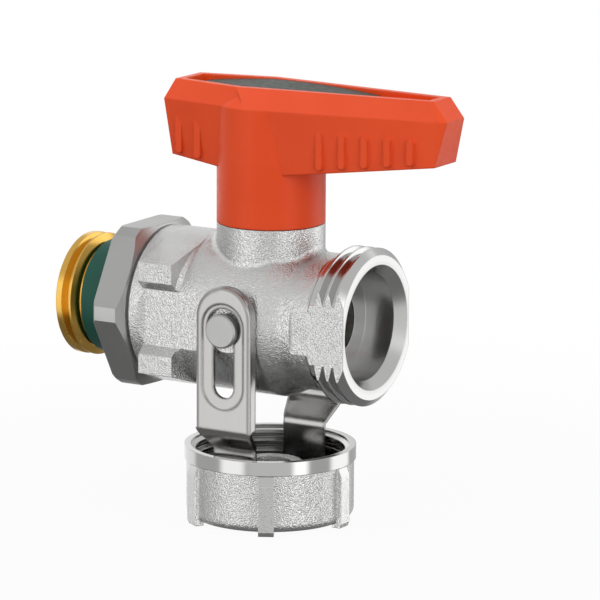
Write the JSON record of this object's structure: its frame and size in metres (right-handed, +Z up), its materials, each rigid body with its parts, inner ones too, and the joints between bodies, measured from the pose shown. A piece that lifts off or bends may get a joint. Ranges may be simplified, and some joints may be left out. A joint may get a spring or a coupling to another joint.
{
  "type": "drain cock",
  "caption": "Fill-and-drain ball valve with a threaded inlet, a winged lever handle and a threaded closing cap that hangs on a slotted strap.",
  "frame": {"origin": "centre of the inlet's end face, at the mouth of the inlet bore", "axes": "+X along the flow from the inlet to the outlet, +Z up along the stem to the handle"},
  "size_m": [0.071, 0.0328, 0.0738],
  "materials": {
    "body_nickel": "rough-cast brass with bright nickel plating",
    "turned_nickel": "turned brass with satin nickel plating",
    "bare_brass": "turned and polished, bare",
    "turned_brass": "turned, bare",
    "ball_plating": "polished plating on the ball",
    "green_seal": "satin dark green",
    "black_rubber": "satin black",
    "white_seat": "smooth, white",
    "orange_plastic": "moulded, satin",
    "grey_insert": "moulded, dark grey",
    "fastener_steel": "plain",
    "stud_steel": "turned, matt",
    "strap_steel": "pressed stainless sheet, polished"
  },
  "bodies": {
    "valve": {"valve_body": "body_nickel", "end_piece": "turned_nickel", "inlet_nipple": "bare_brass", "inlet_seal_ring": "green_seal", "body_ring": "black_rubber", "inlet_seat": "white_seat", "outlet_seat": "white_seat", "stem_washer": "white_seat"},
    "handle": {"handle": "orange_plastic", "handle_insert": "grey_insert", "handle_screw": "fastener_steel", "handle_washer": "fastener_steel", "stem": "turned_brass", "stem_ring_lower": "black_rubber", "stem_ring_upper": "black_rubber", "ball": "ball_plating"},
    "pivot_studs": {"stud_near": "stud_steel", "stud_far": "stud_steel"},
    "strap": {"strap": "strap_steel"},
    "cap": {"cap": "body_nickel", "cap_gasket": "black_rubber", "cap_clip": "fastener_steel"}
  },
  "joints": [
    {"name": "handle_turn", "type": "hinge", "parent": "valve", "child": "handle", "pos_m": [0.0363, 0, 0.02], "axis": [0, 0, -1], "range_deg": [0, 90]},
    {"name": "strap_swing", "type": "hinge", "parent": "valve", "child": "pivot_studs", "pos_m": [0.0363, 0, 0], "axis": [0, 1, 0], "range_deg": [-90, 0]},
    {"name": "strap_slide", "type": "slide", "parent": "pivot_studs", "child": "strap", "axis": [0, 0, 1], "range_m": [-0.0015, 0.0085]},
    {"name": "cap_spin", "type": "hinge", "parent": "strap", "child": "cap", "pos_m": [0.0363, 0, -0.03], "axis": [0, 0, 1], "continuous": true}
  ]
}
